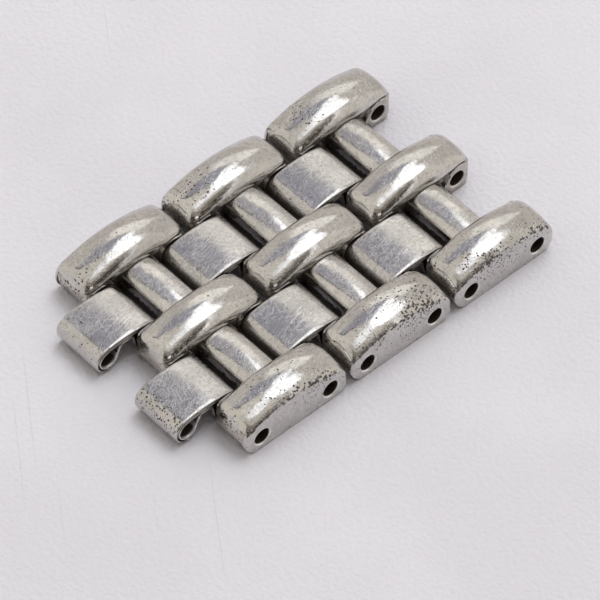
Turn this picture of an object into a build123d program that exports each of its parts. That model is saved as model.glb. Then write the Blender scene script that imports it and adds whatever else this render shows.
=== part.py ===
from math import asin, atan2, cos, degrees, hypot, pi, sin, sqrt
import os

from build123d import *

# Three links of a folded steel watch bracelet, in millimetres.
# +X runs along the bracelet, +Y across it to the far bars, +Z up.
# The origin lies under the middle of the middle link, on the surface that the bracelet rests on.

# The row of links
bar_length = 8.36
bar_width = 3.26
bar_gap = 0.31  # between the ends of the bars of one link and those of the next
loop_width = 3.94
side_gap = 0.13  # on each side of a loop, between it and the bars
pin_inset = 1.38  # from a bar's end to the pin axis beside it

# Pins and their holes
pin_radius = 0.55
pin_clearance = 0.03  # between a pin and the hole or the eye round it
pin_recess = 1.00  # how deep a pin's end lies in the hole of an outer bar
pin_chamfer = 0.12
hole_chamfer = 0.09

# The bars: a pressed cap over a core
shoulder_rise = 0.69  # edge of the dome over the lugs, at mid-length
dome_rise = 0.53  # crest of the dome over its edge
arch_fall = 0.91  # of the dome's edge, from mid-length to the bar's ends
end_slope_length = 0.80  # along the bar, from its end to where the dome's own arch begins
cap_sheet = 0.28
corner_round = 0.80  # of the cap in plan, at the corners that face a loop
shoulder_round = 0.34  # along the cap's edges that face a loop
lower_corner_radius = 0.95  # of the bar's end, seen from the side
cap_end_wall = 0.18  # height of the cap's own end over the core
cap_groove = 0.07  # between the cap's lower edge and the core under it
core_setback = 0.10  # of the core's ends under the cap's
core_corner_round = 0.30  # of the core in plan
web_setback = 1.68  # of the web's ends from the bar's
web_rise = 0.20  # of the web over the lugs, inside the cap that it holds

# The barrel-topped spacers between the bars
spacer_gap = 0.515  # between a spacer and the roll of the loop beside it
spacer_rise = 0.15  # crest of the spacer over the lugs
spacer_crown = 0.39  # crest of the spacer over its long edges
spacer_underside = 0.06
spacer_shoulder_round = 0.22
spacer_foot_round = 0.30
spacer_face_gap = 0.03  # between a spacer and the cap beside it
tenon_gap = 0.08  # between a cap's lower edge and the spacer's end that reaches under it

# The loops: one strip folded into two eyes and lapped over itself
strip = 0.20
strip_seam = 0.02  # between one layer and the next
loop_rise = 0.16  # top of the loop over the tops of its two rolls
loop_lift = 0.05  # underside of the rolls above the underside of the bars
crown_half_run = 0.36  # half the flat run under the middle of the loop
crown_bend_radius = 0.08
lap_end_reach = 0.10  # how far past the bottom of its eye each end of the strip reaches

# Overrun of every cut
overrun = 0.50

# Derived sizes
half_length = bar_length / 2
half_width = bar_width / 2
core_half_width = half_width - cap_sheet
core_half_length = half_length - core_setback
hole_radius = pin_radius + pin_clearance
roll_radius = hole_radius + 2 * strip + strip_seam
pin_x = half_length - pin_inset
pin_height = roll_radius + loop_lift
lug_top = 2 * pin_height
spacer_width = 2 * (pin_x - roll_radius - spacer_gap)
link_pitch = bar_length + bar_gap  # middle of one main link to the middle of the next
loop_pitch = bar_gap + 2 * pin_inset
row_pitch = bar_width + loop_width + 2 * side_gap
overall_width = 2 * row_pitch + bar_width
shoulder_height = lug_top + shoulder_rise
shoulder_end_height = shoulder_height - arch_fall
bar_height = shoulder_height + dome_rise
crease_height = shoulder_end_height - cap_end_wall
web_length = bar_length - 2 * web_setback
web_height = lug_top + web_rise
spacer_height = lug_top + spacer_rise

# The dome's arch: its edge is an arc over the bar's length, and its crest is a parallel arc
edge_arch_radius = (half_length**2 + arch_fall**2) / (2 * arch_fall)
arch_radius = edge_arch_radius + dome_rise
arch_centre_z = bar_height - arch_radius
section_radius = (half_width**2 + dome_rise**2) / (2 * dome_rise)

link_x = {"a": -link_pitch, "b": 0, "c": link_pitch}
bar_y = {"near": -row_pitch, "centre": 0, "far": row_pitch}
gap_y = {"near": -row_pitch / 2, "far": row_pitch / 2}
outer_sides = {"near": -1, "centre": 0, "far": 1}


def side_plane(y=0):
    """The plane of a side view, across the bracelet at y: its own axes are +X and +Z."""
    return Plane.XZ.offset(-y)


def arch_cutter(inset):
    """Everything above the dome, or above the surface that lies inset below it.

    The arc of its section runs on past the bar's side, half of the way to where it would turn back.
    """
    radius = section_radius - inset
    crest = arch_radius - inset
    side_angle = asin((half_width - inset) / radius)
    end_angle = (side_angle + pi / 2) / 2
    reach = radius * sin(end_angle)
    edge = crest - radius + radius * cos(end_angle)
    top = arch_radius + bar_height
    section_plane = Plane(origin=(0, 0, arch_centre_z), x_dir=(0, 1, 0), z_dir=(1, 0, 0))
    turn = degrees(asin((half_length + overrun) / edge_arch_radius))
    across = Axis((0, 0, arch_centre_z), (0, 1, 0))
    with BuildPart() as cutter:
        with BuildSketch(section_plane) as section:
            with BuildLine():
                ThreePointArc((-reach, edge), (0, crest), (reach, edge))
                Polyline((reach, edge), (reach, top), (-reach, top), (-reach, edge))
            make_face()
        revolve(axis=across, revolution_arc=turn)
        revolve(section.sketch, axis=across, revolution_arc=-turn)
    return cutter.part


def end_slope_cutter(side, inset):
    """Everything outside the rounded slope that closes the dome at one end, side -1 or 1."""
    start_x = half_length - end_slope_length
    start_z = arch_centre_z + sqrt((arch_radius - inset) ** 2 - start_x**2)
    end_z = shoulder_end_height - inset
    start = (side * start_x, start_z)
    end = (side * (half_length - inset), end_z)
    along = (side * (start_z - arch_centre_z), -start_x)
    above = bar_height + overrun
    beyond = side * (half_length + overrun)
    with BuildPart() as cutter:
        with BuildSketch(side_plane()):
            with BuildLine():
                TangentArc(start, end, tangent=along)
                Polyline(end, (beyond, end_z), (beyond, above), (side * start_x, above), start)
            make_face()
        extrude(amount=half_width + overrun, both=True)
    return cutter.part


def dome_block(inset, outer_side):
    """The cap's outer form, or with an inset the hollow inside it, over y = 0 and the rest plane.

    outer_side is -1 or 1 for the side of an outer bar that faces no loop, or 0.
    """
    with BuildPart() as block:
        with BuildSketch() as plan:
            Rectangle(2 * (half_length - inset), 2 * (half_width - inset))
            rounded = [v for v in plan.vertices() if v.Y * outer_side <= 0]
            fillet(rounded, corner_round - inset)
        extrude(amount=bar_height)
        add(arch_cutter(inset), mode=Mode.SUBTRACT)
        for side in (-1, 1):
            add(end_slope_cutter(side, inset), mode=Mode.SUBTRACT)
    return block.part


def lug_outline(y, rise, reach):
    """The side view at y of what lies below the cap's lower edge, raised by rise.

    Its top is level between the pins and falls to the ends at x = reach.
    """
    level = lug_top + rise
    end_z = crease_height + rise
    with BuildSketch(side_plane(y)) as outline:
        with BuildLine():
            Line((-pin_x, level), (pin_x, level))
            TangentArc((pin_x, level), (reach, end_z), tangent=(1, 0))
            Polyline((reach, end_z), (reach, 0), (-reach, 0), (-reach, end_z))
            TangentArc((-pin_x, level), (-reach, end_z), tangent=(-1, 0))
        make_face()
    return outline.sketch


def under_cap(outer_side):
    """Everything below the cap's lower edge, with the groove over the core, but for the outer wall."""
    low = -half_width - overrun if outer_side != -1 else -core_half_width
    high = half_width + overrun if outer_side != 1 else core_half_width
    middle = (low + high) / 2
    end_z = crease_height + cap_groove
    with BuildPart() as cutter:
        with BuildSketch(side_plane(middle)):
            add(lug_outline(middle, cap_groove, half_length))
            with Locations((0, end_z / 2)):
                Rectangle(bar_length + 2 * overrun, end_z)
        extrude(amount=(high - low) / 2, both=True)
    return cutter.part


def cap(outer_side):
    """The pressed cap of one bar over y = 0; on an outer bar a flat wall covers the core's side."""
    wall_y = outer_side * (half_width - cap_sheet / 2)
    with BuildPart() as shell:
        add(dome_block(0, outer_side))
        crown_edges = [e for e in shell.edges() if e.center().Z > lug_top and e.geom_type != GeomType.LINE]
        side_edges = [e for e in crown_edges if abs(e.center().Y) > half_width - corner_round / 2]
        fillet([e for e in side_edges if e.center().Y * outer_side <= 0], shoulder_round)
        add(under_cap(outer_side), mode=Mode.SUBTRACT)
        add(dome_block(cap_sheet, outer_side), mode=Mode.SUBTRACT)
        if outer_side:
            fillet(shell.edges().filter_by(Axis.Y).group_by(Axis.Z)[0], lower_corner_radius)
            with BuildSketch(side_plane(wall_y)):
                with Locations((-pin_x, pin_height), (pin_x, pin_height)):
                    Circle(hole_radius)
            extrude(amount=cap_sheet, both=True, mode=Mode.SUBTRACT)
            rims = shell.edges().filter_by(GeomType.CIRCLE)
            rims = [e for e in rims if e.radius < hole_radius + hole_chamfer / 2]
            chamfer([e for e in rims if e.center().Y * outer_side > abs(wall_y)], hole_chamfer)
    return shell.part


def core(outer_side):
    """The core of one bar over y = 0: a lug round each pin, an end block, and a web between the lugs."""
    low = -half_width if outer_side != -1 else -core_half_width
    high = half_width if outer_side != 1 else core_half_width
    middle = (low + high) / 2
    width = high - low
    with BuildPart() as body:
        with BuildSketch(side_plane(middle)) as side_view:
            add(lug_outline(middle, 0, core_half_length))
            lower = side_view.vertices().group_by(Axis.Y)[0]
            fillet(lower, lower_corner_radius - core_setback)
            Rectangle(2 * pin_x, bar_height * 2, mode=Mode.SUBTRACT)
            with Locations((-pin_x, pin_height), (pin_x, pin_height)):
                Circle(pin_height)
        extrude(amount=width / 2, both=True)
        with BuildSketch() as plan:
            with Locations((0, middle)):
                Rectangle(2 * core_half_length, width)
            rounded = [v for v in plan.vertices() if v.Y * outer_side <= 0]
            fillet(rounded, core_corner_round)
        extrude(amount=bar_height, mode=Mode.INTERSECT)
        with BuildSketch(side_plane()):
            with Locations((0, web_height / 2)):
                Rectangle(web_length, web_height)
        extrude(amount=core_half_width, both=True)
        with BuildSketch(side_plane()):
            with Locations((-pin_x, pin_height), (pin_x, pin_height)):
                Circle(hole_radius)
        extrude(amount=half_width + overrun, both=True, mode=Mode.SUBTRACT)
    return body.part


def spacer():
    """The barrel-topped block that fills the gap between two bars, over y = 0."""
    half_top = spacer_width / 2
    face_y = loop_width / 2 + side_gap - spacer_face_gap
    end_y = loop_width / 2 + side_gap + cap_sheet
    crest = (0, spacer_height)
    left = (-half_top, spacer_height - spacer_crown)
    right = (half_top, spacer_height - spacer_crown)
    with BuildPart() as block:
        with BuildSketch(side_plane()) as profile:
            with BuildLine():
                ThreePointArc(left, crest, right)
                Polyline(right, (half_top, spacer_underside), (-half_top, spacer_underside), left)
            make_face()
            levels = profile.vertices().group_by(Axis.Y)
            fillet(levels[-1], spacer_shoulder_round)
            fillet(profile.vertices().group_by(Axis.Y)[0], spacer_foot_round)
        extrude(amount=end_y, both=True)
        with BuildSketch(Plane.XY.offset(lug_top + cap_groove - tenon_gap)):
            for side in (-1, 1):
                with Locations((0, side * (face_y + end_y + overrun) / 2)):
                    Rectangle(spacer_width + overrun, end_y + overrun - face_y)
        extrude(amount=spacer_height, mode=Mode.SUBTRACT)
    return block.part


def polar(centre_x, centre_z, radius, angle):
    """The point at the angle, in radians from +X towards +Z, on a circle of the side view."""
    return (centre_x + radius * cos(angle), centre_z + radius * sin(angle))


def strip_side(bends, offset):
    """Draws one side of a bent strip and returns its two end points.

    Each bend is an arc of the strip's middle: its centre, radius, and first and last angle. Straight
    lengths join them. offset is the distance from the middle, positive to the left of the path.
    """
    ends = []
    for centre_x, centre_z, radius, first, last in bends:
        side_radius = radius + offset if last < first else radius - offset
        angles = (first, (first + last) / 2, last)
        points = [polar(centre_x, centre_z, side_radius, angle) for angle in angles]
        if ends and hypot(points[0][0] - ends[-1][0], points[0][1] - ends[-1][1]) > strip_seam:
            Line(ends[-1], points[0])
        ThreePointArc(*points)
        ends += [points[0], points[-1]]
    return ends[0], ends[-1]


def loop():
    """The folded strip over y = 0, its two eyes on pin axes in the plane z = 0.

    Its path starts under the left eye: round the left eye, over the top, round the right eye,
    up to the crown, down again to the left eye, and once more round both on the inside.
    """
    eye_x = loop_pitch / 2
    inner = hole_radius + strip / 2
    outer = inner + strip + strip_seam
    # The top is an arch that the two end rolls touch from inside
    loop_crest = roll_radius + loop_rise
    top_radius = (eye_x**2 + loop_crest**2 - roll_radius**2) / (2 * loop_rise)
    top_z = loop_crest - top_radius
    lean = atan2(eye_x, -top_z)
    outer_arch = top_radius - strip / 2
    inner_arch = outer_arch - strip - strip_seam
    # The crown lies under the inner layer
    bend = crown_bend_radius + strip / 2
    ceiling = top_z + sqrt((inner_arch - strip / 2) ** 2 - crown_half_run**2)
    bend_z = ceiling - strip_seam - strip / 2 - bend
    span = hypot(eye_x - crown_half_run, bend_z)
    rise = atan2(bend_z, eye_x - crown_half_run)
    # Where a flank leaves its eye, as an angle on the left eye
    outer_flank = rise + asin((outer + bend) / span) - pi / 2
    inner_flank = rise + asin((inner + bend) / span) - pi / 2
    up = pi / 2
    bends = [
        (-eye_x, 0, outer, lap_end_reach / outer - up, lean - 3 * up),
        (0, top_z, outer_arch, up + lean, up - lean),
        (eye_x, 0, outer, up - lean, -pi - outer_flank),
        (crown_half_run, bend_z, bend, -outer_flank, up),
        (-crown_half_run, bend_z, bend, up, pi + inner_flank),
        (-eye_x, 0, inner, inner_flank, lean - 3 * up),
        (0, top_z, inner_arch, up + lean, up - lean),
        (eye_x, 0, inner, up - lean, -up - lap_end_reach / inner),
    ]
    with BuildPart() as folded:
        with BuildSketch(side_plane()):
            with BuildLine():
                left_start, left_end = strip_side(bends, strip / 2)
                right_start, right_end = strip_side(bends, -strip / 2)
                Line(left_start, right_start)
                Line(left_end, right_end)
            make_face()
        extrude(amount=loop_width / 2, both=True)
    return folded.part


def pin():
    """A plain pin through all three bars of a link, over y = 0, with its axis on z = 0."""
    with BuildPart() as rod:
        with BuildSketch(side_plane()):
            Circle(pin_radius)
        extrude(amount=overall_width / 2 - pin_recess, both=True)
        ends = rod.edges().filter_by(GeomType.CIRCLE)
        chamfer(ends, pin_chamfer)
    return rod.part


def place(master, x, y, z, name):
    """One copy of a master at its place, labelled and written out under its name."""
    with BuildPart() as piece:
        with Locations((x, y, z)):
            add(master)
    piece.part.label = name
    export_step(piece.part, f"parts/{name}.step")


if __name__ == "__main__":
    os.makedirs("parts", exist_ok=True)
    spacer_part = spacer()
    for row, y in bar_y.items():
        cap_part = cap(outer_sides[row])
        core_part = core(outer_sides[row])
        for link, x in link_x.items():
            place(cap_part, x, y, 0, f"link_{link}_{row}_cap")
            place(core_part, x, y, 0, f"link_{link}_{row}_core")
    loop_part = loop()
    loop_x = {"free": -3 * link_pitch / 2, "ab": -link_pitch / 2, "bc": link_pitch / 2}
    for row, y in gap_y.items():
        for link, x in link_x.items():
            place(spacer_part, x, y, 0, f"link_{link}_{row}_spacer")
        for gap, x in loop_x.items():
            place(loop_part, x, y, pin_height, f"loop_{gap}_{row}")
    pin_part = pin()
    for link, x in link_x.items():
        place(pin_part, x - pin_x, 0, pin_height, f"pin_{link}_left")
        if link != "c":
            place(pin_part, x + pin_x, 0, pin_height, f"pin_{link}_right")
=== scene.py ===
from math import asin, atan2, cos, hypot, pi, radians, sin, sqrt

import bmesh
import bpy
from bmesh.types import BMEdge, BMVert
from mathutils import Matrix, Vector


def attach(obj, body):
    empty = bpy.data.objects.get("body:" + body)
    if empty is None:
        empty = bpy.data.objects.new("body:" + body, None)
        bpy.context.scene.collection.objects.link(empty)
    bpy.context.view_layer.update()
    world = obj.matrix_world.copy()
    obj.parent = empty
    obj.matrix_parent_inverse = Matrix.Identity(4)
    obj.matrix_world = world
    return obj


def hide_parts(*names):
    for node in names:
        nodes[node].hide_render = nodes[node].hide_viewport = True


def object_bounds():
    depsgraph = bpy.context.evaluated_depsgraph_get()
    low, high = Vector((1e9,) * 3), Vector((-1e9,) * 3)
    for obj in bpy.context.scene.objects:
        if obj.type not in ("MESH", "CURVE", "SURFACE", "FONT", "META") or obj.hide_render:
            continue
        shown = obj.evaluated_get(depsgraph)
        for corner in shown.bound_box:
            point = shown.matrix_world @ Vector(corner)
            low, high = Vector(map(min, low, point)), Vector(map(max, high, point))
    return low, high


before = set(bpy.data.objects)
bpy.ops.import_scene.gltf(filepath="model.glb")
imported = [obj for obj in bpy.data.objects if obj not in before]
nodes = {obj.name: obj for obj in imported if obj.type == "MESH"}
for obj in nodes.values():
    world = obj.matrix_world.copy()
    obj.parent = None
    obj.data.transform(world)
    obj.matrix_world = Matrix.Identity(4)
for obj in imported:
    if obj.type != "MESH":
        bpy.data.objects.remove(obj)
cad_low, cad_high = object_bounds()

# Sizes of the bracelet, in metres
mm = 0.001
bar_length = 8.36 * mm
bar_width = 3.26 * mm
bar_gap = 0.31 * mm
loop_width = 3.94 * mm
side_gap = 0.13 * mm
pin_inset = 1.38 * mm
hole_radius = 0.58 * mm
hole_chamfer = 0.09 * mm
shoulder_rise = 0.69 * mm
dome_rise = 0.53 * mm
arch_fall = 0.91 * mm
end_slope_length = 0.80 * mm
cap_sheet = 0.28 * mm
corner_round = 0.80 * mm
shoulder_round = 0.62 * mm
inner_round = 0.10 * mm  # of the hollow under the cap
edge_round = 0.15 * mm  # of the cap's edge over an outer face
outer_corner_round = 0.25 * mm  # in plan, beside an outer face
end_round = 0.70 * mm  # of the cap's ends, seen from the side
hip_round = 0.42 * mm  # how softly the dome meets the slope at its ends
hip_share = 0.05  # of it on the middle line of the dome
hip_growth = 1.5  # and how fast that share grows to the sides
lower_corner_radius = 1.25 * mm
cap_end_wall = 0.18 * mm
cap_groove = 0.07 * mm
core_setback = 0.10 * mm
spacer_gap = 0.515 * mm
spacer_rise = 0.15 * mm
spacer_crown = 0.39 * mm
spacer_underside = 0.06 * mm
spacer_shoulder_round = 0.22 * mm
spacer_foot_round = 0.30 * mm
spacer_end_round = 0.05 * mm
spacer_face_gap = 0.03 * mm
tenon_gap = 0.08 * mm
tenon_inset = 0.02 * mm
strip = 0.20 * mm
strip_seam = 0.02 * mm
strip_edge_round = 0.09 * mm
strip_edge_spread = 3  # how many times wider than deep the strip's rounded edges are
loop_rise = 0.16 * mm
loop_lift = 0.05 * mm
crown_half_run = 0.36 * mm
crown_bend_radius = 0.08 * mm
lap_end_reach = 0.10 * mm
overrun = 0.50 * mm  # how far cutters reach past what they cut
weld = 0.002 * mm
cut_tolerance = weld / 4

# How finely round forms are divided, and how edges are shaded
edge_steps = 8  # over each rounded edge of a dome
dome_spans_along = 80
dome_spans_across = 26
under_cap_slices = 48
hole_segments = 48
barrel_slices = 24
bend_steps = 14  # over one radian of a bend of 1 mm radius
fewest_bend_steps = 6
smooth_angle = radians(38)  # edges that turn further than this stay sharp


def arc_radius(half_chord, rise):
    """Radius of an arc, from half its chord and its rise."""
    return (half_chord**2 + rise**2) / (2 * rise)


# Derived sizes
half_length = bar_length / 2
half_width = bar_width / 2
roll_radius = hole_radius + 2 * strip + strip_seam
pin_x = half_length - pin_inset
pin_height = roll_radius + loop_lift
lug_top = 2 * pin_height
link_pitch = bar_length + bar_gap
loop_pitch = bar_gap + 2 * pin_inset
row_pitch = bar_width + loop_width + 2 * side_gap
spacer_width = 2 * (pin_x - roll_radius - spacer_gap)
spacer_height = lug_top + spacer_rise
shoulder_height = lug_top + shoulder_rise
shoulder_end_height = shoulder_height - arch_fall
bar_height = shoulder_height + dome_rise
crease_height = shoulder_end_height - cap_end_wall
edge_arch_radius = arc_radius(half_length, arch_fall)
arch_radius = edge_arch_radius + dome_rise
arch_centre_z = bar_height - arch_radius
section_radius = arc_radius(half_width, dome_rise)

link_x = {"a": -link_pitch, "b": 0.0, "c": link_pitch}
bar_y = {"near": -row_pitch, "centre": 0.0, "far": row_pitch}
gap_y = {"near": -row_pitch / 2, "far": row_pitch / 2}
outer_sides = {"near": -1, "centre": 0, "far": 1}
loop_x = {"free": -1.5 * link_pitch, "ab": -link_pitch / 2, "bc": link_pitch / 2}
loop_bodies = {"ab": "loops_ab", "bc": "loops_bc"}


def placed(name, data):
    """A new object in the scene, at the origin."""
    thing = bpy.data.objects.new(name, data)
    bpy.context.scene.collection.objects.link(thing)
    return thing


def shade_smooth(mesh):
    """Smooth shading, but for the sharp edges."""
    for polygon in mesh.polygons:
        polygon.use_smooth = True
    mesh.set_sharp_from_angle(angle=smooth_angle)


def finished(bm, name):
    """Turns a bmesh into an object at the origin, smooth but for its sharp edges."""
    mesh = bpy.data.meshes.new(name)
    bm.to_mesh(mesh)
    bm.free()
    shade_smooth(mesh)
    return placed(name, mesh)


def copy_at(master, name, x, y, z):
    """A copy of a piece, its mesh moved to its place."""
    piece = placed(name, master.data.copy())
    piece.data.transform(Matrix.Translation((x, y, z)))
    return piece


def settle(piece, node, body, material):
    """The piece takes the node's place and body, and its own finish."""
    piece.data.materials.clear()
    piece.data.materials.append(material)
    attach(piece, body)
    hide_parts(node)


# Steps of modelling that several pieces share


def block(bm, width, length, bottom, top):
    """Adds a plain block across the bracelet, over y = 0, for the edges to be worked on."""
    made = bmesh.ops.create_cube(bm, size=1.0)["verts"]
    bmesh.ops.scale(bm, verts=made, vec=(width, length, top - bottom))
    bmesh.ops.translate(bm, verts=made, vec=(0, 0, (top + bottom) / 2))


def long_edges(bm, reach):
    """The edges that run across the bracelet over the whole form."""
    return [e for e in bm.edges if abs(e.verts[0].co.y - e.verts[1].co.y) > reach]


def round_edges(bm, edges, radius, segments):
    """Rounds edges with a plain bevel."""
    bmesh.ops.bevel(
        bm, geom=edges, offset=radius, offset_type="OFFSET", segments=segments,
        profile=0.5, affect="EDGES", material=-1, clamp_overlap=True,
    )


def cut_across(bm, x):
    """Adds a ring of edges round a form, across its length."""
    geometry = bm.verts[:] + bm.edges[:] + bm.faces[:]
    bmesh.ops.bisect_plane(
        bm, geom=geometry, dist=cut_tolerance, plane_co=(x, 0, 0), plane_no=(1, 0, 0)
    )


def fill_openings(bm):
    """Closes every open border of a form with a face."""
    bmesh.ops.holes_fill(bm, edges=[e for e in bm.edges if e.is_boundary])


def only(kind, geometry):
    """The vertices or the edges among what an operator returns."""
    return [part for part in geometry if isinstance(part, kind)]


def cut_by(piece, cutters):
    """The piece less every cutter but the last, and only what lies inside the last."""
    for cutter in cutters:
        cut = piece.modifiers.new("cut", "BOOLEAN")
        cut.operation = "DIFFERENCE" if cutter is not cutters[-1] else "INTERSECT"
        cut.solver = "EXACT"
        cut.object = cutter
    return applied(piece, cutters)


def applied(piece, helpers):
    """The piece with its modifiers applied, and what they used removed."""
    bpy.context.view_layer.update()
    depsgraph = bpy.context.evaluated_depsgraph_get()
    mesh = bpy.data.meshes.new_from_object(piece.evaluated_get(depsgraph))
    mesh.name = piece.name + "_shape"
    piece.modifiers.clear()
    piece.data = mesh
    shade_smooth(mesh)
    for helper in helpers:
        bpy.data.objects.remove(helper)
    return piece


# The caps


def end_slope(x, inset):
    """Height of the slope that closes the dome at its ends; nearer the middle it runs on straight."""
    start_x = half_length - end_slope_length
    crest_radius = arch_radius - inset
    rise_z = sqrt(crest_radius**2 - start_x**2)
    normal_x = start_x / crest_radius
    normal_z = rise_z / crest_radius
    if abs(x) <= start_x:
        return arch_centre_z + rise_z + (start_x - abs(x)) * normal_x / normal_z
    run = end_slope_length - inset
    fall = arch_centre_z + rise_z - shoulder_end_height + inset
    radius = (run**2 + fall**2) / (2 * (fall * normal_z - run * normal_x))
    centre_x = start_x - normal_x * radius
    centre_z = arch_centre_z + rise_z - normal_z * radius
    return centre_z + sqrt(max(radius**2 - (abs(x) - centre_x) ** 2, 0))


def lower_of(a, b, blend):
    """The lower of two heights, with the change from one to the other spread over blend."""
    overlap = max(blend - abs(a - b), 0) / blend
    return min(a, b) - overlap**2 * blend / 4


def dome(x, y, inset):
    """Height of the dome, or of the surface inset below it, before its edges are rounded."""
    section = section_radius - inset
    drop = section - sqrt(section**2 - y**2)
    arch = arch_centre_z + sqrt((arch_radius - inset - drop) ** 2 - x**2)
    blend = hip_round * min(hip_growth * abs(y) / half_width + hip_share, 1)
    return lower_of(arch, end_slope(x, inset), blend)


def round_drop(distance, radius):
    """How far a rounded edge lies below a sharp one, at a distance from the edge."""
    depth = min(max(radius - distance, 0), radius)
    return radius - sqrt(radius**2 - depth**2)


def disc_from_square(a, b):
    """Moves a place in the unit square into the quarter of a unit disc."""
    return a * sqrt(1 - b**2 / 2), b * sqrt(1 - a**2 / 2)


def grid_lines(half, low_round, high_round, spans):
    """Places of grid lines from -half to half, closer together along the rounded edges."""
    low = [-half + low_round * (1 - cos(pi / 2 * i / edge_steps)) for i in range(edge_steps)]
    high = [half - high_round * (1 - cos(pi / 2 * i / edge_steps)) for i in range(edge_steps)]
    start = -half + low_round
    span = (2 * half - low_round - high_round) / spans
    return low + [start + span * i for i in range(spans + 1)] + high[::-1]


def cap_lower_edge(x):
    """Height of the cap's lower edge, level between the pins and falling to the ends."""
    radius = arc_radius(half_length - pin_x, lug_top - crease_height)
    past_pin = max(abs(x) - pin_x, 0)
    return lug_top + cap_groove - radius + sqrt(radius**2 - past_pin**2)


def pressed(x, y, outer_side, inset):
    """The place of a plan point on the pressed dome, with its edges and corners rounded."""
    x_sign = 1 if x > 0 else -1
    y_sign = 1 if y > 0 else -1
    is_outer = y_sign == outer_side
    end_drop = inner_round if inset else end_round
    side_drop = inner_round if inset else edge_round if is_outer else shoulder_round
    plan_round = min(end_drop, outer_corner_round) if is_outer else corner_round - inset
    drop = round_drop(half_length - inset - abs(x), end_drop)
    drop += round_drop(half_width - inset - abs(y), side_drop)
    past_x = abs(x) - (half_length - inset - plan_round)
    past_y = abs(y) - (half_width - inset - plan_round)
    if past_x > 0 and past_y > 0:
        a, b = disc_from_square(min(past_x / plan_round, 1), min(past_y / plan_round, 1))
        x = x_sign * (half_length - inset - plan_round * (1 - a))
        y = y_sign * (half_width - inset - plan_round * (1 - b))
        if not is_outer:
            reach = min(hypot(a, b), 1)
            turn = (b / max(hypot(a, b), weld)) ** 2
            drop = round_drop(plan_round * (1 - reach), end_drop + (side_drop - end_drop) * turn)
    return Vector((x, y, dome(x, y, inset) - drop))


def dome_block(outer_side, inset):
    """A closed block under the pressed dome, or under the hollow inside it, over y = 0."""
    end_drop = inner_round if inset else end_round
    low_drop, high_drop = (
        inner_round if inset else edge_round if side == outer_side else shoulder_round for side in (-1, 1)
    )
    xs = grid_lines(half_length - inset, end_drop, end_drop, dome_spans_along)
    ys = grid_lines(half_width - inset, low_drop, high_drop, dome_spans_across)
    columns = len(xs) - 1
    rows = len(ys) - 1
    bm = bmesh.new()
    bmesh.ops.create_grid(bm, x_segments=columns, y_segments=rows, size=1.0)
    for vertex in bm.verts:
        i = round((vertex.co.x + 1) / 2 * columns)
        j = round((vertex.co.y + 1) / 2 * rows)
        vertex.co = pressed(xs[i], ys[j], outer_side, inset)
    border = [e for e in bm.edges if e.is_boundary]
    drawn = bmesh.ops.extrude_edge_only(bm, edges=border)["geom"]
    for vertex in only(BMVert, drawn):
        vertex.co.z = -overrun
    fill_openings(bm)
    bmesh.ops.recalc_face_normals(bm, faces=bm.faces)
    return finished(bm, "dome_block")


def bar_outline(setback):
    """A block as long as the bar less a setback, its lower corners rounded as the bar's ends are."""
    slack = weld if setback else 0
    bm = bmesh.new()
    block(bm, bar_length - 2 * setback + slack, bar_width + 2 * overrun, -slack, bar_height + overrun)
    lower = [e for e in long_edges(bm, half_width) if e.verts[0].co.z < weld]
    round_edges(bm, lower, lower_corner_radius - setback, segments=12)
    return finished(bm, "bar_outline")


def cap_shell(outer_side, name):
    """The cap of one bar over y = 0: a pressed dome, hollow, cut off at its lower edge."""
    piece = dome_block(outer_side, 0)
    piece.name = name
    cutters = [dome_block(outer_side, cap_sheet), under_cap_cutter(outer_side)]
    if outer_side:
        cutters += [hole_cutter(side * pin_x, outer_side) for side in (-1, 1)]
    cutters.append(bar_outline(0))
    return cut_by(piece, cutters)


def under_cap_cutter(outer_side):
    """Everything below the cap's lower edge, but for the wall on an outer side."""
    reach = half_width + overrun
    wall_inside = half_width - cap_sheet
    low = -wall_inside if outer_side == -1 else -reach
    high = wall_inside if outer_side == 1 else reach
    bm = bmesh.new()
    block(bm, bar_length + 2 * overrun, high - low, -overrun, lug_top)
    bmesh.ops.translate(bm, verts=bm.verts, vec=(0, (high + low) / 2, 0))
    for i in range(under_cap_slices + 1):
        cut_across(bm, bar_length * (i / under_cap_slices - 0.5))
    for vertex in bm.verts:
        if vertex.co.z > 0:
            vertex.co.z = cap_lower_edge(min(max(vertex.co.x, -half_length), half_length))
    return finished(bm, "under_cap_cutter")


def hole_cutter(x, outer_side):
    """A turned plug that cuts one pin hole with its bright chamfer into an outer wall."""
    outside = outer_side * half_width
    stations = [
        (hole_radius, -2 * cap_sheet),
        (hole_radius, -hole_chamfer),
        (hole_radius + hole_chamfer, 0),
        (hole_radius + hole_chamfer, overrun),
    ]
    bm = bmesh.new()
    points = [bm.verts.new((radius, outside + outer_side * along, 0)) for radius, along in stations]
    edges = [bm.edges.new(pair) for pair in zip(points, points[1:])]
    bmesh.ops.spin(
        bm, geom=points + edges, cent=(0, 0, 0), axis=(0, 1, 0), angle=2 * pi, steps=hole_segments,
        use_merge=True,
    )
    bmesh.ops.remove_doubles(bm, verts=bm.verts, dist=weld)
    fill_openings(bm)
    bmesh.ops.recalc_face_normals(bm, faces=bm.faces)
    bmesh.ops.translate(bm, verts=bm.verts, vec=(x, 0, pin_height))
    return finished(bm, "hole_cutter")


# The cores


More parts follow.
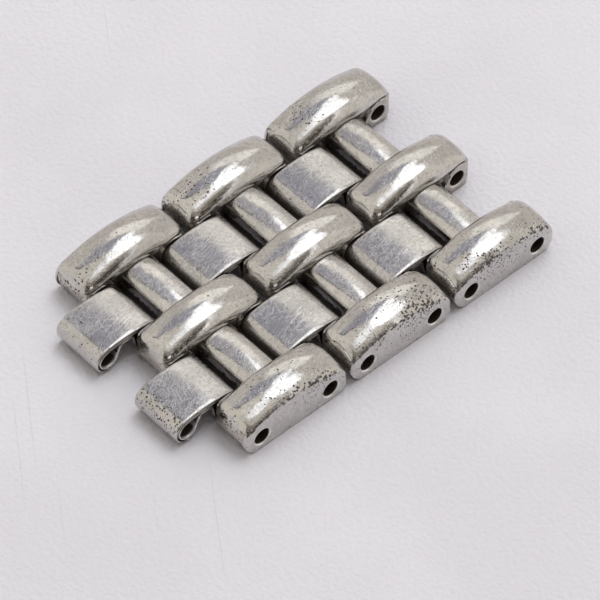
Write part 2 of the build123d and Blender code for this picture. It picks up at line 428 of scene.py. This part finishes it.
def core_form(row, name):
    """The core of one bar over y = 0: the CAD core with its corners and hole rims worn round."""
    outer_side = outer_sides[row]
    core_length = bar_length - 2 * core_setback
    bm = bmesh.new()
    bm.from_mesh(nodes[f"link_b_{row}_core"].data)
    bmesh.ops.translate(bm, verts=bm.verts, vec=(0, -bar_y[row], 0))
    bmesh.ops.remove_doubles(bm, verts=bm.verts, dist=cut_tolerance)
    piece = finished(bm, name)
    bm = bmesh.new()
    block(bm, core_length + weld, bar_width + weld, -overrun, bar_height + overrun)
    uprights = [e for e in bm.edges if abs(e.verts[0].co.z - e.verts[1].co.z) > bar_height]
    inner = [e for e in uprights if e.verts[0].co.y * outer_side <= 0]
    round_edges(bm, inner, corner_round - core_setback, segments=8)
    inner_faces = [face for face in (-1, 1) if face != outer_side]
    cutters = [hole_cutter(side * pin_x, face) for side in (-1, 1) for face in inner_faces]
    cutters.append(finished(bm, "plan_outline"))
    return cut_by(cut_by(piece, cutters), [bar_outline(core_setback)])


# The spacers


def barrel(name):
    """The spacer over y = 0: a barrel-topped block, and a lower tenon that reaches under the caps."""
    face_y = loop_width / 2 + side_gap - spacer_face_gap
    end_y = loop_width / 2 + side_gap + cap_sheet
    bm = bmesh.new()
    barrel_form(bm, end_y)
    bmesh.ops.scale(bm, verts=bm.verts, vec=(1 - tenon_inset / spacer_width, 1, 1))
    geometry = bm.verts[:] + bm.edges[:] + bm.faces[:]
    tenon_top = (0, 0, lug_top + cap_groove - tenon_gap)
    bmesh.ops.bisect_plane(bm, geom=geometry, plane_co=tenon_top, plane_no=(0, 0, 1), clear_outer=True)
    fill_openings(bm)
    tenon = bpy.data.meshes.new("tenon")
    bm.to_mesh(tenon)
    bm.clear()
    barrel_form(bm, face_y)
    rims = [e for e in bm.edges if is_end_edge(e, face_y) and e.calc_face_angle(0) > radians(60)]
    round_edges(bm, rims, spacer_end_round, segments=3)
    bm.from_mesh(tenon)
    bpy.data.meshes.remove(tenon)
    bmesh.ops.recalc_face_normals(bm, faces=bm.faces)
    return finished(bm, name)


def barrel_form(bm, reach):
    """Adds a block with rounded long edges and a barrel top, from y = -reach to reach."""
    block(bm, spacer_width, 2 * reach, spacer_underside, spacer_height - spacer_crown)
    upper = [e for e in long_edges(bm, reach) if e.verts[0].co.z > lug_top / 2]
    round_edges(bm, upper, spacer_shoulder_round, segments=6)
    lower = [e for e in long_edges(bm, reach) if e.verts[0].co.z < 2 * spacer_underside]
    round_edges(bm, lower, spacer_foot_round, segments=5)
    for i in range(1, barrel_slices):
        cut_across(bm, spacer_width * (i / barrel_slices - 0.5))
    radius = arc_radius(spacer_width / 2, spacer_crown)
    for vertex in bm.verts:
        if vertex.co.z > lug_top / 2:
            vertex.co.z += sqrt(radius**2 - vertex.co.x**2) - (radius - spacer_crown)


def is_end_edge(edge, face_y):
    """Whether an edge lies in one of the two end faces."""
    return all(abs(abs(v.co.y) - face_y) < weld for v in edge.verts)


# The loops


def folded_strip(name):
    """One loop over y = 0, its eyes on pin axes in the plane z = 0: a strip folded bend by bend."""
    eye_x = loop_pitch / 2
    inner = hole_radius + strip / 2
    outer = inner + strip + strip_seam
    crest_z = roll_radius + loop_rise
    top_radius = (eye_x**2 + crest_z**2 - roll_radius**2) / (2 * loop_rise)
    top_z = crest_z - top_radius
    lean = atan2(eye_x, -top_z)
    outer_arch = top_radius - strip / 2
    inner_arch = outer_arch - strip - strip_seam
    bend = crown_bend_radius + strip / 2
    ceiling = top_z + sqrt((inner_arch - strip / 2) ** 2 - crown_half_run**2)
    bend_z = ceiling - strip_seam - strip / 2 - bend
    span = hypot(eye_x - crown_half_run, bend_z)
    rise = atan2(bend_z, eye_x - crown_half_run)
    outer_flank = rise + asin((outer + bend) / span) - pi / 2
    inner_flank = rise + asin((inner + bend) / span) - pi / 2
    up = pi / 2
    bends = [
        (-eye_x, 0, outer, lap_end_reach / outer - up, lean - 3 * up),
        (0, top_z, outer_arch, up + lean, up - lean),
        (eye_x, 0, outer, up - lean, -pi - outer_flank),
        (crown_half_run, bend_z, bend, -outer_flank, up),
        (-crown_half_run, bend_z, bend, up, pi + inner_flank),
        (-eye_x, 0, inner, inner_flank, lean - 3 * up),
        (0, top_z, inner_arch, up + lean, up - lean),
        (eye_x, 0, inner, up - lean, -up - lap_end_reach / inner),
    ]
    bm = bmesh.new()
    ring = strip_end(bm, bends[0])
    here = None
    for centre_x, centre_z, radius, first, last in bends:
        start = Vector((centre_x + radius * cos(first), 0, centre_z + radius * sin(first)))
        if here and (start - here).length > strip_seam:
            grown = bmesh.ops.extrude_edge_only(bm, edges=ring)["geom"]
            corners = only(BMVert, grown)
            bmesh.ops.translate(bm, verts=corners, vec=start - here)
            ring = [e for e in only(BMEdge, grown) if all(v in corners for v in e.verts)]
        steps = max(fewest_bend_steps, round(abs(last - first) * sqrt(radius / mm) * bend_steps))
        turned = bmesh.ops.spin(
            bm, geom=ring, cent=(centre_x, 0, centre_z), axis=(0, 1, 0), angle=first - last, steps=steps
        )["geom_last"]
        ring = only(BMEdge, turned)
        here = Vector((centre_x + radius * cos(last), 0, centre_z + radius * sin(last)))
    bmesh.ops.edgeloop_fill(bm, edges=ring)
    bmesh.ops.recalc_face_normals(bm, faces=bm.faces)
    return finished(bm, name)


def strip_end(bm, bend):
    """The strip's first end, a flat rounded rectangle across the start of a bend; returns its edges."""
    centre_x, centre_z, radius, first, _ = bend
    corners = [(-1, -1), (1, -1), (1, 1), (-1, 1)]
    narrowed = loop_width / strip_edge_spread
    points = [bm.verts.new((radius + i * strip / 2, j * narrowed / 2, 0)) for i, j in corners]
    bm.faces.new(points)
    bmesh.ops.bevel(
        bm, geom=points, offset=strip_edge_round, segments=6, profile=0.5, affect="VERTICES", material=-1
    )
    bmesh.ops.scale(bm, verts=bm.verts, vec=(1, strip_edge_spread, 1))
    turn = Matrix.Rotation(-first, 4, "Y")
    bmesh.ops.transform(bm, verts=bm.verts, matrix=Matrix.Translation((centre_x, 0, centre_z)) @ turn)
    return bm.edges[:]


# Finishes


def new_material(name):
    """A fresh material, with its node tree and its shader."""
    material = bpy.data.materials.new(name)
    material.use_nodes = True
    return material, material.node_tree, material.node_tree.nodes["Principled BSDF"]


def feed(tree, socket, value):
    """Gives a socket a plain value, or links it to another socket."""
    if isinstance(value, bpy.types.NodeSocket):
        tree.links.new(value, socket)
    else:
        socket.default_value = value


def add_node(tree, kind, **inputs):
    """A node with its inputs fed by name; an underscore in a name stands for a space."""
    made = tree.nodes.new("ShaderNode" + kind)
    for name, value in inputs.items():
        feed(tree, made.inputs[name.replace("_", " ")], value)
    return made


def calc(tree, operation, *values):
    """The result of one Math node."""
    made = tree.nodes.new("ShaderNodeMath")
    made.operation = operation
    for socket, value in zip(made.inputs, values):
        feed(tree, socket, value)
    return made.outputs[0]


def fade(tree, value, start, end, low=0.0, high=1.0):
    """A smooth change from low to high as a value goes from start to end."""
    made = add_node(tree, "MapRange", Value=value, To_Min=low, To_Max=high)
    made.interpolation_type = "SMOOTHSTEP"
    feed(tree, made.inputs["From Min"], start)
    feed(tree, made.inputs["From Max"], end)
    return made.outputs["Result"]


def noise(tree, place, grain, detail=3.0):
    """Smooth noise whose blotches are about as large as the grain."""
    return add_node(tree, "TexNoise", Vector=place, Scale=0.5 / grain, Detail=detail).outputs["Fac"]


def streaks(tree, place, angle, length, width, rarity):
    """Fine straight scratches in one direction of the plan."""
    size = (2 * length, 2 * width, 2 * width)
    turned = add_node(tree, "Mapping", Vector=place, Rotation=(0, 0, radians(angle)), Scale=size)
    turned.vector_type = "TEXTURE"
    lines = add_node(tree, "TexNoise", Vector=turned.outputs[0], Scale=1.0, Detail=1.0).outputs["Fac"]
    return fade(tree, lines, rarity, rarity + scratch_softness)


def mixed(tree, share, first, second):
    """A colour between two others."""
    made = tree.nodes.new("ShaderNodeMix")
    made.data_type = "RGBA"
    colour_inputs = [s for s in made.inputs if s.type == "RGBA"]
    feed(tree, made.inputs["Factor"], share)
    feed(tree, colour_inputs[0], first)
    feed(tree, colour_inputs[1], second)
    return [s for s in made.outputs if s.type == "RGBA"][0]


def raised(tree, height, depth, normal=None):
    """The surface with a height laid on it, as deep as depth at full height."""
    made = add_node(tree, "Bump", Height=height, Distance=depth, Strength=1.0)
    if normal:
        feed(tree, made.inputs["Normal"], normal)
    return made.outputs["Normal"]


def shaded(tint, share=1.0):
    """A tint as a colour with its alpha, darker by a share."""
    return (*(share * part for part in tint), 1)


# Grain, spacing and depth of the steel's wear
blotch_grain = 0.9 * mm
speckle_grain = 0.12 * mm
wave_grain = 1.3 * mm
scratch_patch_grain = 1.1 * mm
pit_cluster_grain = 1.5 * mm
fine_pit_spacing = 0.17 * mm
large_pit_spacing = 0.30 * mm
wave_depth = 0.024 * mm
speckle_depth = 0.0060 * mm
scratch_depth = 0.009 * mm
pit_depth = 0.03 * mm

# Where each kind of wear and of painted shade sets in, and where it is full
near_bars_y = (-5.4 * mm, -8.0 * mm)
far_bars_y = (6.0 * mm, 7.0 * mm)
far_bars_x = (0.6 * mm, -2.0 * mm)  # from the middle of each link
free_rolls_x = (-14.2 * mm, -15.0 * mm)
upper_faces_z = (0.8 * mm, 2.1 * mm)
dome_edge_reach = (0.50 * mm, 0.05 * mm)  # from the edge between dome and outer face
stain_y = (-8.2 * mm, -8.7 * mm)
stain_reach = (0.52 * mm, 0.40 * mm)  # from the same edge
low_grime_and_shade_rise = (0.55 * mm, 0.35 * mm)  # above a finish's height for grime and painted shade
rubbed_rim = (0.14 * mm, 0.10 * mm)  # outside a pin hole
hole_shadow_rim = 0.02 * mm
grime_shade_and_stain_raggedness = 0.9 * mm

# The levels of noise, closeness, or dirt and painted shade, between which each effect sets in
patch_levels = (0.38, 0.62)
cluster_levels = (0.38, 0.64)
grime_and_shade_levels = (0.34, 0.62)
blotch_levels = (0.35, 0.7)
speckle_levels = (0.45, 0.75)
uneven_polish_levels = (0.3, 0.75)
dull_dirt_and_shade_levels = (0.2, 0.9)

# Strengths of the wear and of the painted shade
scratch_softness = 0.05
faint_scratches = 0.15  # where a patch has the fewest
face_pitting = (0.12, 0.55)  # low down and high up
edge_pitting = 0.45
far_pitting = 0.5
roll_pitting = 0.55
large_pit_share = 0.45
pit_size = 0.24  # as a share of the spacing
pit_growth = 0.42  # by which a pit is larger in the middle of a cluster
pit_dirt = 0.92
grime_and_shade_patchiness = 0.5
stain_strength = 0.9
blotch_shade = 0.86
speckle_shade = 0.70
speckle_strength = 0.75
scratch_shine = 0.45
rim_shine = 0.8
dirt_and_shade_metallic = 0.1
blotch_roughness = (-0.03, 0.07)
speckle_roughness = 0.10
scratch_roughness = 0.10
dirt_and_shade_roughness = 0.42
rim_roughness = 0.30
bare_steel = (0.92, 0.91, 0.90, 1)
# The colour of dirt and pits, and of the shade painted into the gaps and the pin holes
dirt_and_shade_colour = (0.036, 0.024, 0.016, 1)

# Scratches: angle in plan, length, width, and how rare they are
scratch_kinds = [
    (12, 1.6 * mm, 0.040 * mm, 0.67),
    (38, 1.1 * mm, 0.030 * mm, 0.69),
    (-27, 1.4 * mm, 0.034 * mm, 0.69),
    (71, 0.9 * mm, 0.028 * mm, 0.68),
    (-64, 1.2 * mm, 0.034 * mm, 0.70),
]


def scratch_mask(tree, place, scratching):
    """Scratches in every direction of the list, thicker in some patches than in others."""
    lines = None
    for angle, length, width, rarity in scratch_kinds:
        layer = streaks(tree, place, angle, length, width, rarity - scratching)
        lines = calc(tree, "MAXIMUM", lines, layer) if lines else layer
    patches = fade(tree, noise(tree, place, scratch_patch_grain), *patch_levels, faint_scratches, 1.0)
    return calc(tree, "MULTIPLY", lines, patches)


def along_link(tree, parts):
    """How far a place lies from the middle of its link, along the bracelet at rest."""
    return calc(tree, "WRAP", parts["X"], link_pitch / 2, -link_pitch / 2)


def hole_distance(tree, parts):
    """How far a place lies from the nearest pin axis of the bracelet, at rest."""
    east = calc(tree, "SUBTRACT", calc(tree, "ABSOLUTE", along_link(tree, parts)), pin_x)
    up = calc(tree, "SUBTRACT", parts["Z"], pin_height)
    squares = calc(tree, "MULTIPLY_ADD", east, east, calc(tree, "MULTIPLY", up, up))
    return calc(tree, "SQRT", squares)


def dome_edge_distance(tree, parts):
    """How far above or below the arched edge between dome and outer face a place lies."""
    along = along_link(tree, parts)
    squared = calc(tree, "MULTIPLY", along, along)
    level = calc(tree, "MULTIPLY_ADD", squared, arch_fall / half_length**2, parts["Z"])
    return calc(tree, "ABSOLUTE", calc(tree, "SUBTRACT", level, shoulder_height))


def pit_clusters(tree, place, parts, pitting, clustering):
    """Where pits are likely: most of all on the near bars, the far bars' left halves and the free rolls."""
    faces = fade(tree, parts["Z"], *upper_faces_z, *face_pitting)
    edges = fade(tree, dome_edge_distance(tree, parts), *dome_edge_reach, 0.0, edge_pitting)
    near = calc(tree, "MULTIPLY", calc(tree, "ADD", faces, edges), fade(tree, parts["Y"], *near_bars_y))
    far = fade(tree, parts["Y"], *far_bars_y, 0.0, far_pitting)
    far = calc(tree, "MULTIPLY", far, fade(tree, along_link(tree, parts), *far_bars_x))
    rolls = fade(tree, parts["X"], *free_rolls_x, 0.0, roll_pitting)
    worn = calc(tree, "MAXIMUM", calc(tree, "MAXIMUM", near, far), rolls)
    clusters = fade(tree, noise(tree, place, pit_cluster_grain), *cluster_levels)
    clusters = calc(tree, "MULTIPLY", clusters, calc(tree, "ADD", worn, clustering))
    return calc(tree, "ADD", clusters, pitting)


def pit_mask(tree, place, spacing, clusters):
    """Small round pits of uneven size, only where the cluster mask is above a cell's own chance."""
    cells = add_node(tree, "TexVoronoi", Vector=place, Scale=1 / spacing)
    draws = add_node(tree, "SeparateColor", Color=cells.outputs["Color"])
    excess = calc(tree, "SUBTRACT", clusters, draws.outputs[0])
    size = calc(tree, "MULTIPLY_ADD", excess, pit_growth, pit_size)
    shape = calc(tree, "SUBTRACT", size, cells.outputs["Distance"])
    return calc(tree, "MULTIPLY", fade(tree, shape, 0.0, 0.08), fade(tree, excess, 0.0, 0.02))


def ragged(tree, speckle, value):
    """A distance or height with its contour lines made ragged by the speckle."""
    return calc(tree, "MULTIPLY_ADD", speckle, grime_shade_and_stain_raggedness, value)


def grime_and_painted_shade_mask(tree, parts, speckle, reach, height):
    """Grime with painted shade where other surfaces stand close, and everywhere below a height."""
    # Closeness to other surfaces paints shade into the gaps, along with their grime
    openness = add_node(tree, "AmbientOcclusion", Distance=reach)
    openness.samples = 8
    closed = calc(tree, "SUBTRACT", 1.0, openness.outputs["AO"])
    patchy = calc(tree, "MULTIPLY_ADD", speckle, grime_and_shade_patchiness, -grime_and_shade_patchiness / 2)
    grime_and_shade = fade(tree, calc(tree, "ADD", closed, patchy), *grime_and_shade_levels)
    # Below a height the finish is darkened too: painted shade low in the deep gaps, and grime
    start, full = (height + rise for rise in low_grime_and_shade_rise)
    return calc(tree, "MAXIMUM", grime_and_shade, fade(tree, ragged(tree, speckle, parts["Z"]), start, full))


def stain_mask(tree, parts, speckle):
    """A stained line along the edge between dome and outer face of the near bars."""
    line = ragged(tree, speckle, dome_edge_distance(tree, parts))
    line = fade(tree, line, *stain_reach, 0.0, stain_strength)
    return calc(tree, "MULTIPLY", line, fade(tree, parts["Y"], *stain_y))


def worn_steel(name, tint, roughness, pitting, clustering, scratching, grime_and_shade_reach, grime_and_shade_height=-mm):
    """Worn polished steel: uneven polish, fine scratches, small dents, pits, and grime with painted shade in
    the gaps.

    Whatever lies below the given height is darkened too, as grime and painted shade; at its usual value that
    is nothing.
    """
    material, tree, shader = new_material(name)
    place = add_node(tree, "TexCoord").outputs["Object"]
    parts = add_node(tree, "SeparateXYZ", Vector=place).outputs
    blotches = noise(tree, place, blotch_grain, 4.0)
    speckle = noise(tree, place, speckle_grain, 4.0)
    waves = noise(tree, place, wave_grain, 2.0)
    lines = scratch_mask(tree, place, scratching)
    clusters = pit_clusters(tree, place, parts, pitting, clustering)
    fine_pits = pit_mask(tree, place, fine_pit_spacing, clusters)
    large_pits = pit_mask(tree, place, large_pit_spacing, calc(tree, "MULTIPLY", clusters, large_pit_share))
    pits = calc(tree, "MAXIMUM", fine_pits, large_pits)
    grime_and_shade = grime_and_painted_shade_mask(tree, parts, speckle, grime_and_shade_reach, grime_and_shade_height)
    # Dirt, pits, stains, and the shade painted into the gaps and pin holes, all darken the steel towards one
    # colour
    dirt_and_shade = calc(tree, "MAXIMUM", grime_and_shade, calc(tree, "MULTIPLY", pits, pit_dirt))
    dirt_and_shade = calc(tree, "MAXIMUM", dirt_and_shade, stain_mask(tree, parts, speckle))
    # The pin holes are painted dark inside as shade, and their chamfered rims are rubbed clean
    from_pin = hole_distance(tree, parts)
    rubbed = fade(tree, from_pin, *(hole_radius + reach for reach in rubbed_rim))
    dirt_and_shade = calc(tree, "MULTIPLY", dirt_and_shade, calc(tree, "SUBTRACT", 1.0, rubbed))
    dirt_and_shade = calc(tree, "MAXIMUM", dirt_and_shade, fade(tree, from_pin, hole_radius + hole_shadow_rim, hole_radius))
    clean = mixed(tree, fade(tree, blotches, *blotch_levels), shaded(tint), shaded(tint, blotch_shade))
    dull_specks = fade(tree, speckle, *speckle_levels, 0.0, speckle_strength)
    clean = mixed(tree, dull_specks, clean, shaded(tint, speckle_shade))
    bright_lines = calc(tree, "MULTIPLY", lines, scratch_shine)
    bright = calc(tree, "MAXIMUM", bright_lines, calc(tree, "MULTIPLY", rubbed, rim_shine))
    clean = mixed(tree, bright, clean, bare_steel)
    feed(tree, shader.inputs["Base Color"], mixed(tree, dirt_and_shade, clean, dirt_and_shade_colour))
    feed(tree, shader.inputs["Metallic"], fade(tree, dirt_and_shade, *dull_dirt_and_shade_levels, 1.0, dirt_and_shade_metallic))
    rough = calc(tree, "ADD", roughness, fade(tree, blotches, *uneven_polish_levels, *blotch_roughness))
    roughened = [
        (speckle, speckle_roughness),
        (lines, scratch_roughness),
        (dirt_and_shade, dirt_and_shade_roughness),
        (rubbed, rim_roughness),
    ]
    for mask, added in roughened:
        rough = calc(tree, "MULTIPLY_ADD", mask, added, rough)
    feed(tree, shader.inputs["Roughness"], rough)
    surface = raised(tree, waves, wave_depth)
    surface = raised(tree, speckle, speckle_depth, surface)
    surface = raised(tree, calc(tree, "MULTIPLY", lines, -1.0), scratch_depth, surface)
    surface = raised(tree, calc(tree, "MULTIPLY", pits, -1.0), pit_depth, surface)
    feed(tree, shader.inputs["Normal"], surface)
    return material


# Each finish darkens the gaps near other parts, as grime and painted shade; the spacers are darkened so low
# on their flanks too
cap_steel = worn_steel(
    "cap_steel", tint=(0.67, 0.645, 0.62), roughness=0.04,
    pitting=0.02, clustering=0.06, scratching=0.02, grime_and_shade_reach=0.36 * mm,
)
core_steel = worn_steel(
    "core_steel", tint=(0.57, 0.53, 0.485), roughness=0.18,
    pitting=0.08, clustering=0.20, scratching=0.00, grime_and_shade_reach=0.85 * mm,
)
spacer_steel = worn_steel(
    "spacer_steel", tint=(0.70, 0.67, 0.645), roughness=0.08,
    pitting=0.01, clustering=0.05, scratching=0.06, grime_and_shade_reach=0.42 * mm, grime_and_shade_height=1.05 * mm,
)
loop_steel = worn_steel(
    "loop_steel", tint=(0.61, 0.585, 0.57), roughness=0.07,
    pitting=0.01, clustering=0.04, scratching=0.07, grime_and_shade_reach=1.15 * mm,
)
# The pins are near black: the shade deep in their holes is painted onto them
pin_steel = worn_steel(
    "pin_steel", tint=(0.16, 0.14, 0.12), roughness=0.40,
    pitting=0.20, clustering=0.20, scratching=0.00, grime_and_shade_reach=1.5 * mm,
)

# The pieces at their places
cap_masters = {row: cap_shell(side, f"{row}_cap_master") for row, side in outer_sides.items()}
core_masters = {row: core_form(row, f"{row}_core_master") for row in outer_sides}
spacer_master = barrel("spacer_master")
loop_master = folded_strip("loop_master")
for link, x in link_x.items():
    body = f"link_{link}"
    for row, y in bar_y.items():
        node = f"{body}_{row}_cap"
        settle(copy_at(cap_masters[row], node + "_shell", x, y, 0), node, body, cap_steel)
        node = f"{body}_{row}_core"
        settle(copy_at(core_masters[row], node + "_worn", x, y, 0), node, body, core_steel)
    for row, y in gap_y.items():
        node = f"{body}_{row}_spacer"
        settle(copy_at(spacer_master, node + "_barrel", x, y, 0), node, body, spacer_steel)
for gap, x in loop_x.items():
    for row, y in gap_y.items():
        node = f"loop_{gap}_{row}"
        body = loop_bodies.get(gap, f"free_loop_{row}")
        settle(copy_at(loop_master, node + "_strip", x, y, pin_height), node, body, loop_steel)
for master in [*cap_masters.values(), *core_masters.values(), spacer_master, loop_master]:
    bpy.data.objects.remove(master)
for name, node in nodes.items():
    if name.startswith("pin"):
        node.data.materials[0] = pin_steel

# Floor
floor_size = 3.0
floor_grain = 0.16 * mm
floor_grain_depth = 0.10 * mm
floor_cloud_grain = 9 * mm
floor_mark_length = 14 * mm
floor_mark_width = 0.12 * mm
floor_mark_angle = 55  # degrees in plan
floor_mark_rarity = 0.74
floor_mark_strength = 0.20
floor_dull = (0.80, 0.785, 0.85, 1)
floor_bright = (0.85, 0.835, 0.90, 1)
floor_mark_colour = (0.45, 0.44, 0.44, 1)
bm = bmesh.new()
bmesh.ops.create_grid(bm, x_segments=1, y_segments=1, size=floor_size / 2)
bmesh.ops.translate(bm, verts=bm.verts, vec=(0, 0, cad_low[2]))
floor = finished(bm, "floor")
floor_material, tree, shader = new_material("pale_floor")
place = add_node(tree, "TexCoord").outputs["Object"]
clouds = noise(tree, place, floor_cloud_grain, 4.0)
grain = noise(tree, place, floor_grain, 3.0)
marks = streaks(tree, place, floor_mark_angle, floor_mark_length, floor_mark_width, floor_mark_rarity)
shade = calc(tree, "ADD", fade(tree, clouds, 0.3, 0.7), calc(tree, "MULTIPLY", grain, 0.6))
floor_tone = mixed(tree, fade(tree, shade, 0.3, 1.3), floor_dull, floor_bright)
faint_marks = calc(tree, "MULTIPLY", marks, floor_mark_strength)
floor_tone = mixed(tree, faint_marks, floor_tone, floor_mark_colour)
feed(tree, shader.inputs["Base Color"], floor_tone)
feed(tree, shader.inputs["Roughness"], fade(tree, grain, 0.3, 0.7, 0.45, 0.6))
feed(tree, shader.inputs["Normal"], raised(tree, grain, floor_grain_depth))
floor.data.materials.append(floor_material)

# Camera
camera_azimuth = radians(-40.95)
camera_elevation = radians(50.06)
camera_roll = radians(-0.73)
camera_distance = 364.95 * mm
camera_target = Vector((-2.568 * mm, -2.475 * mm, pin_height))
camera_clip_start = 0.01
frame_pixels = 600
focal_pixels = 5870.9
back = Vector((
    sin(camera_azimuth) * cos(camera_elevation),
    -cos(camera_azimuth) * cos(camera_elevation),
    sin(camera_elevation),
))
level_right = Vector((cos(camera_azimuth), sin(camera_azimuth), 0))
right = level_right * cos(camera_roll) + back.cross(level_right) * sin(camera_roll)
upward = back.cross(right)
camera_data = bpy.data.cameras.new("camera")
camera_data.lens = camera_data.sensor_width * focal_pixels / frame_pixels
camera_data.clip_start = camera_clip_start
camera = placed("camera", camera_data)
axes = Matrix((right, upward, back)).transposed().to_4x4()
camera.matrix_world = Matrix.Translation(camera_target + back * camera_distance) @ axes
bpy.context.scene.camera = camera

# Light: soft ceiling lights, pale walls, and the dark side of the room that the camera is in
room = (0.585, 0.555, 0.52, 1)
room_strength = 1.1
tent_facing = (-0.917, -0.209, 0.341)  # square to the plane that parts the pale tent from the dark side
tent_edge_gain = 4.0
lamp_size = 0.35
lamp_distance = 0.6
lamp_direction = Vector((0.45, 0.12, 0.88)).normalized()
lamp_power = 0.78

world = bpy.data.worlds.new("studio")
world.use_nodes = True
tree = world.node_tree
background = tree.nodes["Background"]
parts = add_node(tree, "SeparateXYZ", Vector=add_node(tree, "TexCoord").outputs["Generated"]).outputs
level_reach = calc(tree, "SQRT", calc(tree, "SUBTRACT", 1.0, calc(tree, "MULTIPLY", parts["Z"], parts["Z"])))
level_reach = calc(tree, "MAXIMUM", level_reach, 0.001)


def toward(azimuth, spread, softness):
    """Mask of the directions near one azimuth of the room, in degrees from -Y towards +X."""
    angle = radians(azimuth)
    along = calc(tree, "MULTIPLY", parts["Y"], -cos(angle))
    along = calc(tree, "MULTIPLY_ADD", parts["X"], sin(angle), along)
    inner = cos(radians(spread - softness))
    outer = cos(radians(spread + softness))
    return fade(tree, calc(tree, "DIVIDE", along, level_reach), outer, inner)


def between(low, high, softness):
    """Mask of the directions between two elevations, in degrees."""
    above = fade(tree, parts["Z"], sin(radians(low - softness)), sin(radians(low + softness)))
    below = fade(tree, parts["Z"], sin(radians(high + softness)), sin(radians(high - softness)))
    return both(above, below)


def beyond(facing, softness):
    """Mask of the directions on one side of a plane through the bracelet, facing that side."""
    along = None
    for axis, part in zip("XYZ", facing):
        share = calc(tree, "MULTIPLY", parts[axis], part)
        along = calc(tree, "ADD", along, share) if along else share
    return fade(tree, along, -softness, softness)


def both(first, second):
    """Where two masks meet."""
    return calc(tree, "MULTIPLY", first, second)


def on_ceiling(centre, half_lengths, turn, inside, outside):
    """Mask of a soft oval on a level ceiling one unit up, its long axis turned from +X."""
    height = calc(tree, "MAXIMUM", parts["Z"], 0.05)
    east = calc(tree, "SUBTRACT", calc(tree, "DIVIDE", parts["X"], height), centre[0])
    north = calc(tree, "SUBTRACT", calc(tree, "DIVIDE", parts["Y"], height), centre[1])
    total = None
    for axis, half in enumerate(half_lengths):
        angle = radians(turn + 90 * axis)
        run = calc(tree, "MULTIPLY", north, sin(angle) / half)
        run = calc(tree, "MULTIPLY_ADD", east, cos(angle) / half, run)
        square = calc(tree, "MULTIPLY", run, run)
        total = calc(tree, "ADD", total, square) if total else square
    return fade(tree, total, outside, inside)


camera_side = both(beyond(tent_facing, 0.02), toward(-22, 61, 5))
tent_edge = both(beyond(tent_facing, 0.05), beyond([-part for part in tent_facing], 0.05))
tent_edge = calc(tree, "MULTIPLY", tent_edge, tent_edge_gain)
# Each layer covers the ones before it
layers = [
    # Pale walls to the right and at the left
    (toward(45, 34, 12), (0.70, 0.67, 0.62, 1)),
    (toward(-128, 46, 8), (0.72, 0.69, 0.63, 1)),
    # A bright panel and two dull ones high at the back, and a dark seam beside them
    (both(toward(136, 19, 4), between(27, 48, 2.5)), (1.06, 1.04, 0.98, 1)),
    (both(toward(158, 24, 5), between(48, 74, 2.5)), (0.37, 0.375, 0.44, 1)),
    (both(toward(178, 17, 6), between(45, 74, 3)), (0.36, 0.365, 0.42, 1)),
    (both(toward(-163, 3.2, 1.2), between(40, 76, 3)), (0.04, 0.04, 0.045, 1)),
    # The dark side, darkest low down, with a bright patch in it
    (both(camera_side, between(-60, 61, 4)), (0.26, 0.235, 0.205, 1)),
    (both(camera_side, between(-70, 38, 9)), (0.060, 0.050, 0.038, 1)),
    (both(toward(-24, 13, 4), between(19, 32, 3)), (1.10, 1.08, 1.04, 1)),
    # The ceiling lights
    (on_ceiling((0.00, -0.10), (0.21, 0.14), 0, 0.45, 1.20), (1.25, 1.29, 1.33, 1)),
    (on_ceiling((0.47, 0.33), (0.30, 0.13), 48, 0.75, 1.20), (1.63, 1.68, 1.73, 1)),
    (on_ceiling((0.39, -0.01), (0.30, 0.29), 0, 0.70, 1.35), (1.92, 1.98, 2.04, 1)),
    # The bright strip along the tent's edge
    (both(tent_edge, both(toward(30, 24, 4), between(14, 62, 4))), (1.42, 1.44, 1.46, 1)),
]
sky = room
for mask, colour in layers:
    sky = mixed(tree, mask, sky, colour)
feed(tree, background.inputs["Color"], sky)
feed(tree, background.inputs["Strength"], room_strength)
bpy.context.scene.world = world

# The ceiling's light on the floor; the room above already shows it in the steel
lamp_data = bpy.data.lights.new("ceiling_panel", "AREA")
lamp_data.shape = "SQUARE"
lamp_data.size = lamp_size
lamp_data.energy = lamp_power
lamp = placed("ceiling_panel", lamp_data)
lamp_turn = lamp_direction.to_track_quat("Z", "Y").to_matrix().to_4x4()
lamp.matrix_world = Matrix.Translation(lamp_direction * lamp_distance) @ lamp_turn
lamp.visible_glossy = False
bpy.context.scene.view_settings.view_transform = "Standard"
